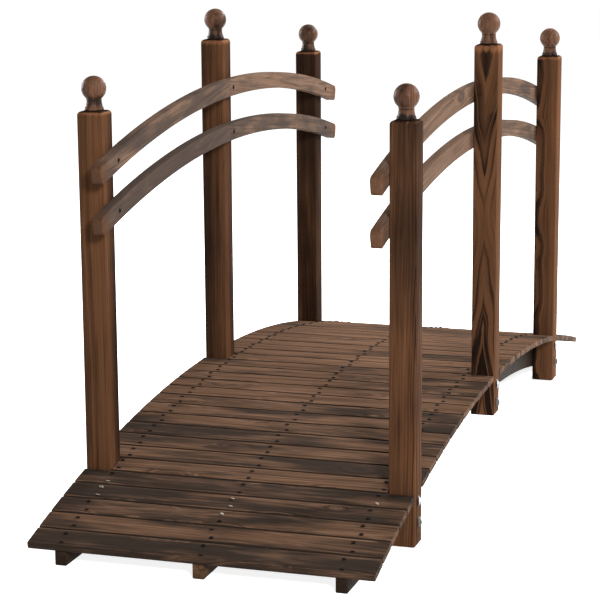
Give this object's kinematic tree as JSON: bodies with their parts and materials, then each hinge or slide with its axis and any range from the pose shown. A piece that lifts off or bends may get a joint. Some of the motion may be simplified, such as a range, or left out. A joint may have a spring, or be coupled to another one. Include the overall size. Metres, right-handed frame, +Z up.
{
  "type": "arched garden footbridge",
  "caption": "Low arched timber footbridge for a garden: cross boards on curved stringers, square posts with turned ball finials, and curved two-part rails along both sides.",
  "frame": {"origin": "on the ground under the middle of the deck", "axes": "+X along the walkway from the front end to the back end, +Y to the left of someone walking that way, +Z up"},
  "size_m": [2.002, 0.67, 0.9632],
  "materials": {
    "deck_boards": "dark stained softwood, scorched grain, satin",
    "stringers": "dark stained softwood, matt",
    "posts": "warm brown stained softwood with dark scorched grain",
    "rails": "grey brown stained softwood",
    "finials": "turned stained softwood, satin",
    "fixings": "zinc plated screws and bolts"
  },
  "bodies": {
    "root": {"left_stringer": "stringers", "middle_stringer": "stringers", "right_stringer": "stringers", "front_left_post": "posts", "front_right_post": "posts", "middle_left_post": "posts", "middle_right_post": "posts", "back_left_post": "posts", "back_right_post": "posts", "front_left_finial": "finials", "front_right_finial": "finials", "middle_left_finial": "finials", "middle_right_finial": "finials", "back_left_finial": "finials", "back_right_finial": "finials", "left_upper_rail": "rails", "left_lower_rail": "rails", "right_upper_rail": "rails", "right_lower_rail": "rails", "front_ramp_boards": "deck_boards", "front_post_board": "deck_boards", "front_span_boards": "deck_boards", "middle_post_board": "deck_boards", "back_span_boards": "deck_boards", "back_post_board": "deck_boards", "back_ramp_boards": "deck_boards"}
  },
  "joints": []
}
